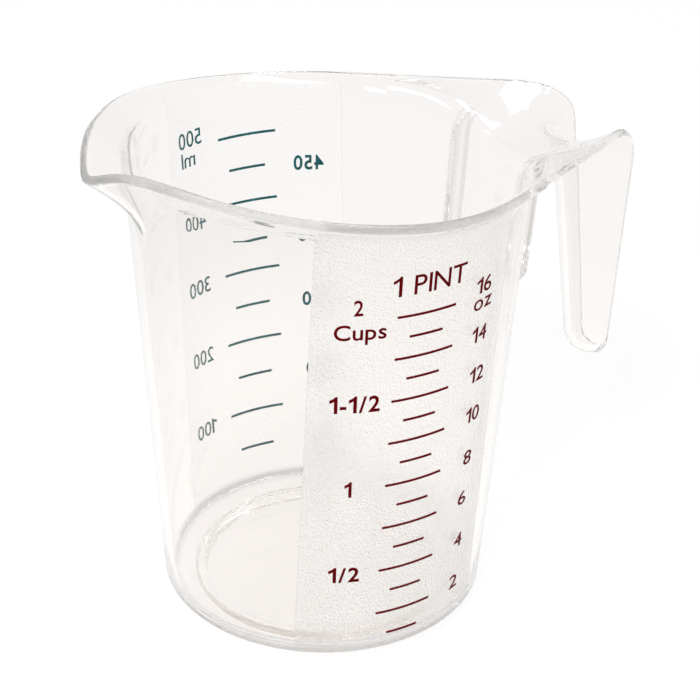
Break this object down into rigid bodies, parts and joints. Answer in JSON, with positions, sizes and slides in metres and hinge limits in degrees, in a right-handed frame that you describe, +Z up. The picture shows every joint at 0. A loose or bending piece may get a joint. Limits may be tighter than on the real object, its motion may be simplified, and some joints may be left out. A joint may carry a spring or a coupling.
{
  "type": "measuring cup",
  "caption": "Clear moulded measuring cup with a flared rim, raised pouring spout, gutter-shaped hanging handle and printed red and teal volume scales.",
  "frame": {"origin": "centre of the underside, on the axis of the round vessel", "axes": "+Z up out of the mouth, +X towards the handle, -X towards the spout, +Y across towards the metric scale"},
  "size_m": [0.1356, 0.0966, 0.1218],
  "materials": {
    "clear_plastic": "clear, polished; frosted grain on the two printed flanks",
    "red_ink": "screen-printed ink",
    "teal_ink": "screen-printed ink"
  },
  "bodies": {
    "root": {"cup_body": "clear_plastic", "ounce_line_01": "red_ink", "ounce_line_02": "red_ink", "ounce_line_03": "red_ink", "ounce_line_04": "red_ink", "ounce_line_05": "red_ink", "ounce_line_06": "red_ink", "ounce_line_07": "red_ink", "ounce_line_08": "red_ink", "ounce_line_09": "red_ink", "ounce_line_10": "red_ink", "ounce_line_11": "red_ink", "ounce_line_12": "red_ink", "ounce_line_13": "red_ink", "ounce_line_14": "red_ink", "ounce_line_15": "red_ink", "ounce_line_16": "red_ink", "millilitre_line_050": "teal_ink", "millilitre_line_100": "teal_ink", "millilitre_line_150": "teal_ink", "millilitre_line_200": "teal_ink", "millilitre_line_250": "teal_ink", "millilitre_line_300": "teal_ink", "millilitre_line_350": "teal_ink", "millilitre_line_400": "teal_ink", "millilitre_line_450": "teal_ink", "millilitre_line_500": "teal_ink"}
  },
  "joints": []
}
